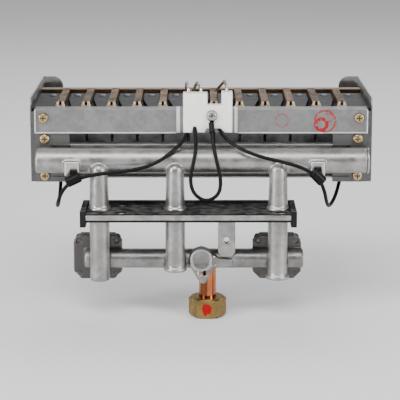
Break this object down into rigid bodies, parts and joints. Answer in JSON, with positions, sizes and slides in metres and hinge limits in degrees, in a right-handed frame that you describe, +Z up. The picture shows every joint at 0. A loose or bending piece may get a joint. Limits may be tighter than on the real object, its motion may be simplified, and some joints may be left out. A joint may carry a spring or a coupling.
{
  "type": "gas burner assembly",
  "caption": "Bladed atmospheric gas burner rack with injector manifold, riser pipes through a sealing plate, ceramic electrode block with leads, and a gas inlet union nut.",
  "frame": {"origin": "centre of the four fixing holes, on the top face of the sealing plate, under the middle of the blade rack", "axes": "+X to the right along the manifold tube, +Y to the back along the blades, +Z up"},
  "size_m": [0.2804, 0.173, 0.1911],
  "materials": {
    "galvanised": "galvanised sheet with a faint spangle",
    "blade_steel": "aluminised steel, tinted tan by heat",
    "dark_sheet": "blue-grey heat-darkened sheet",
    "cast_alloy": "satin die-cast alloy",
    "ceramic": "white glazed ceramic",
    "electrode": "heat-resistant alloy rod",
    "rubber": "matt black rubber",
    "lead": "black silicone insulation",
    "clip": "black moulded plastic",
    "copper": "bright drawn copper tube",
    "brass": "machined brass",
    "plated_screw": "yellow-passivated steel screw",
    "fibre": "green fibre washer",
    "terminal": "tinned terminal"
  },
  "bodies": {
    "burner": {"air_deck": "dark_sheet", "bar_screws": "plated_screw", "blade_01": "blade_steel", "blade_02": "blade_steel", "blade_03": "blade_steel", "blade_04": "blade_steel", "blade_05": "blade_steel", "blade_06": "blade_steel", "blade_07": "blade_steel", "blade_08": "blade_steel", "blade_09": "blade_steel", "blade_10": "blade_steel", "blade_11": "blade_steel", "blade_12": "blade_steel", "block_screw": "plated_screw", "cable_clip_left": "clip", "cable_clip_right": "clip", "cover_screws": "plated_screw", "earth_electrode": "electrode", "earth_lead": "lead", "earth_terminal": "terminal", "electrode_block": "ceramic", "flame_electrode": "electrode", "flame_lead": "lead", "flame_lead_coil": "lead", "flame_lead_terminal": "clip", "flange_cover_left": "dark_sheet", "flange_cover_right": "dark_sheet", "front_bar": "galvanised", "gas_tube": "copper", "injector_rail": "galvanised", "injectors": "brass", "lower_header": "cast_alloy", "manifold_end_cap": "cast_alloy", "manifold_tube": "cast_alloy", "rail_screws": "plated_screw", "rear_bar": "galvanised", "riser_left": "cast_alloy", "riser_middle": "cast_alloy", "riser_right": "cast_alloy", "sealing_gasket": "rubber", "sealing_plate": "cast_alloy", "side_plate_left": "galvanised", "side_plate_right": "galvanised", "spark_electrode": "electrode", "spark_lead": "lead", "spark_lead_coil": "lead", "spark_lead_terminal": "clip", "support_lug": "cast_alloy", "union_washer": "fibre", "venturi_plate": "dark_sheet"},
    "union_nut": {"union_nut": "brass"}
  },
  "joints": [
    {"name": "nut_turn", "type": "hinge", "parent": "burner", "child": "union_nut", "pos_m": [0.0052, 0.009, -0.083], "axis": [0, 0, 1], "continuous": true}
  ]
}
